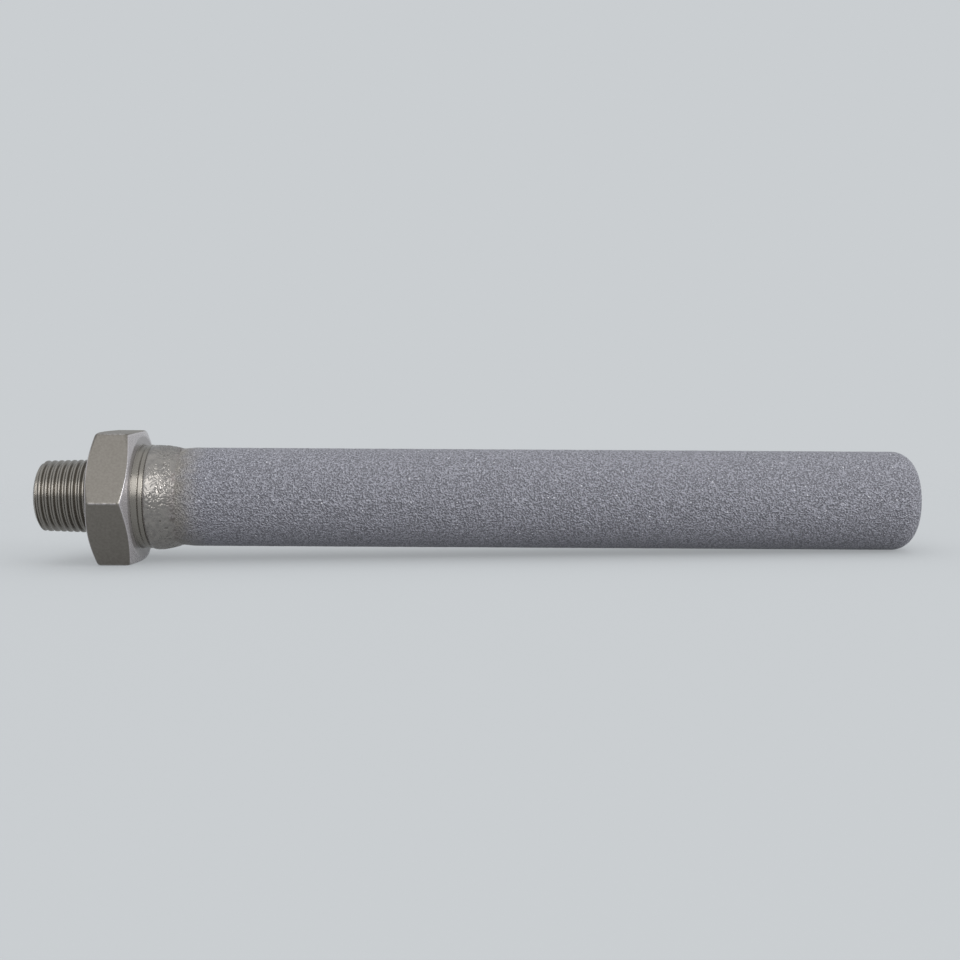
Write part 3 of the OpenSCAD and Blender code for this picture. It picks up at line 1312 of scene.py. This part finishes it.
@dataclass(frozen=True)
class SoftBox:
    """Soft lamp that faces the element.

    The elevation is in degrees above the horizon, the azimuth in degrees from the front towards +X, and the
    power in watts.
    """

    name: str
    elevation: float
    azimuth: float
    size: Span
    power: float

    def build(self, centre: Vector, far: float) -> None:
        """Add the lamp.

        Args:
            centre: Place that it faces.
            far: Its distance from there.
        """
        lamp = bpy.data.lights.new(self.name, "AREA")
        lamp.shape = "RECTANGLE"
        lamp.size, lamp.size_y = self.size
        lamp.energy = self.power
        up, side = math.radians(self.elevation), math.radians(self.azimuth)
        back = Vector((math.sin(side) * math.cos(up), -math.cos(side) * math.cos(up), math.sin(up)))
        box = bpy.data.objects.new(self.name, lamp)
        box.location = centre + back * far
        box.rotation_mode = "QUATERNION"
        box.rotation_quaternion = (-back).to_track_quat("-Z", "Y")
        bpy.context.scene.collection.objects.link(box)


@dataclass(frozen=True)
class Studio:
    """Pale floor, even surround and soft lamps.

    The element lies on an edge of one flat, at pivot_x, and on the rim of its tip. Together, rest_ends of its
    length lie beyond those two places.
    """

    sizes: ElementSizes
    backdrop: Colour = (0.591, 0.617, 0.638)
    floor_shown: Colour = (0.333, 0.348, 0.36)
    floor_glow: float = 0.5
    floor_bounce: Colour = (0.46, 0.46, 0.47)
    floor_half: float = 4.0
    floor_gap: float = 0.05 * MM
    pivot_x: float = 10.0 * MM
    rest_ends: float = 13.4 * MM
    fade_from: float = 0.16
    fade_to: float = 0.42
    fill_colour: Colour = (1.0, 1.0, 1.0)
    fill: float = 0.26
    fill_top: float = 1.75
    lamp_far: float = 4.5
    lamps: tuple[SoftBox, ...] = (
        SoftBox("key", 31.0, -14.0, (3.3, 3.3), 67.0),
        SoftBox("overhead", 90.0, 0.0, (8.2, 6.0), 43.0),
        SoftBox("side", 22.0, 62.0, (2.2, 2.2), 108.0),
    )

    def build(self) -> None:
        """Build the floor, the surround and the lamps."""
        self._floor()
        self._surround()
        for lamp in self.lamps:
            lamp.build(Vector((self.sizes.tip_x / 2, 0.0, 0.0)), self.lamp_far)

    def rest_slope(self) -> float:
        """Rise of the floor along the element, as a share of the way."""
        return (self.sizes.flat_radius - self.sizes.tube_radius) / (self.sizes.tip_x - self.rest_ends)

    def _floor(self) -> None:
        """Add the floor: a plain sheet that keeps soft shadows and runs out into the backdrop."""
        s, half = self.sizes, self.floor_half
        edge = np.array([[-half, -half], [half, -half], [half, half], [-half, half]])
        height = -s.flat_radius + (edge[:, 0] - self.pivot_x) * self.rest_slope() - self.floor_gap
        floor = mesh_object("floor", np.column_stack([edge, height]), np.array([[0, 1, 2, 3]]), NO_FANS)
        material = bpy.data.materials.new("floor_paper")
        sheet = clean_sheet(material)
        seen = self._seen(sheet)
        spot = sheet.add("ShaderNodeTexCoord").outputs["Object"]
        away = sheet.length("SUBTRACT", spot, (s.thread_end / 2 + s.tip_x / 2, 0.0, 0.0))
        fade = sheet.math("MULTIPLY", sheet.ramp(away, self.fade_from, self.fade_to), seen)
        shade = sheet.mix(seen, self.floor_bounce, self.floor_shown)
        paper = sheet.add("ShaderNodeBsdfDiffuse", {"Color": shade})
        glow = sheet.add("ShaderNodeEmission", {"Color": self.backdrop})
        even = sheet.math("MULTIPLY", seen, self.floor_glow)
        lit = sheet.add("ShaderNodeMixShader", {0: even, 1: paper.outputs[0], 2: glow.outputs[0]})
        clear = sheet.add("ShaderNodeBsdfTransparent")
        shader = sheet.add("ShaderNodeMixShader", {0: fade, 1: lit.outputs[0], 2: clear.outputs[0]})
        sheet.add("ShaderNodeOutputMaterial", {"Surface": shader.outputs[0]})
        floor.data.materials.append(material)

    @staticmethod
    def _seen(sheet: NodeSheet) -> bpy.types.NodeSocket:
        """Mask of the rays that show the background: those of the camera, of gloss and of glass.

        Args:
            sheet: Sheet of the floor or the world.

        Returns:
            The mask.
        """
        path = sheet.add("ShaderNodeLightPath").outputs
        shown = sheet.math("MAXIMUM", path["Is Camera Ray"], path["Is Glossy Ray"])
        return sheet.math("MAXIMUM", shown, path["Is Transmission Ray"])

    def _surround(self) -> None:
        """Set the world: the backdrop's colour where it is seen, and a plain fill light elsewhere."""
        world = bpy.data.worlds.new("studio")
        sheet = clean_sheet(world)
        seen = self._seen(sheet)
        towards = sheet.add("ShaderNodeTexCoord").outputs["Object"]
        height = sheet.add("ShaderNodeSeparateXYZ", {0: towards}).outputs["Z"]
        strength = sheet.ramp(height, 0.0, 1.0, self.fill, self.fill_top)
        fill = sheet.add("ShaderNodeBackground", {"Color": self.fill_colour, "Strength": strength})
        wall = sheet.add("ShaderNodeBackground", {"Color": self.backdrop, "Strength": 1.0})
        both = sheet.add("ShaderNodeMixShader", {0: seen, 1: fill.outputs[0], 2: wall.outputs[0]})
        sheet.add("ShaderNodeOutputWorld", {"Surface": both.outputs[0]})
        bpy.context.scene.world = world


@dataclass(frozen=True)
class PhotoCamera:
    """Camera at the photograph's angle; the picture is 960 pixels square.

    Its distance, the picture's centre right of foot_x and the axis below the centre are given in pixels.
    """

    picture: float = 960.0
    pixel_size: float = 0.28 * MM
    far_pixels: float = 1300.0
    foot_x: float = 104.45 * MM
    centre_right: float = 4.0
    axis_below: float = 18.3
    elevation: float = math.radians(5.8)
    roll: float = math.radians(0.36)
    sensor: float = 36.0
    clip: Span = (0.01, 50.0)

    def build(self) -> None:
        """Place the camera so that one pixel at the axis measures pixel_size."""
        camera = bpy.data.cameras.new("camera")
        camera.sensor_width = self.sensor
        camera.lens = self.sensor * self.far_pixels / self.picture
        camera.clip_start, camera.clip_end = self.clip
        back = Vector((0.0, -math.cos(self.elevation), math.sin(self.elevation)))
        rise = Vector((0.0, math.sin(self.elevation), math.cos(self.elevation)))
        spot = Vector((self.foot_x, 0.0, 0.0)) + back * (self.far_pixels * self.pixel_size)
        aim = Vector((self.foot_x + self.centre_right * self.pixel_size, 0.0, 0.0))
        aim += rise * self.axis_below * self.pixel_size
        turn = (aim - spot).to_track_quat("-Z", "Y").to_matrix().to_4x4()
        eye = bpy.data.objects.new("camera", camera)
        eye.matrix_world = Matrix.Translation(spot) @ turn @ Matrix.Rotation(self.roll, 4, "Z")
        bpy.context.scene.collection.objects.link(eye)
        bpy.context.scene.camera = eye


def main() -> None:
    """Load the frame, build and dress the pieces in order, and set the stage."""
    logging.basicConfig(level=logging.INFO, format="%(name)s: %(message)s")
    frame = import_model()
    bpy.context.scene.view_settings.view_transform = "Standard"
    sizes = ElementSizes.from_frame(frame["record"])
    effects = Effects()
    PhotoCamera().build()
    fitting = ThreadedFitting(sizes)
    fitting.dress(fitting.build(), TurnedFinish(), effects)
    weld = WeldBead(sizes)
    weld.dress(weld.build(), WeldFinish(), effects)
    tube = SinteredTube(sizes)
    tube.dress(tube.build(), SinteredFinish(), effects)
    Studio(sizes).build()


if __name__ == "__main__":
    main()
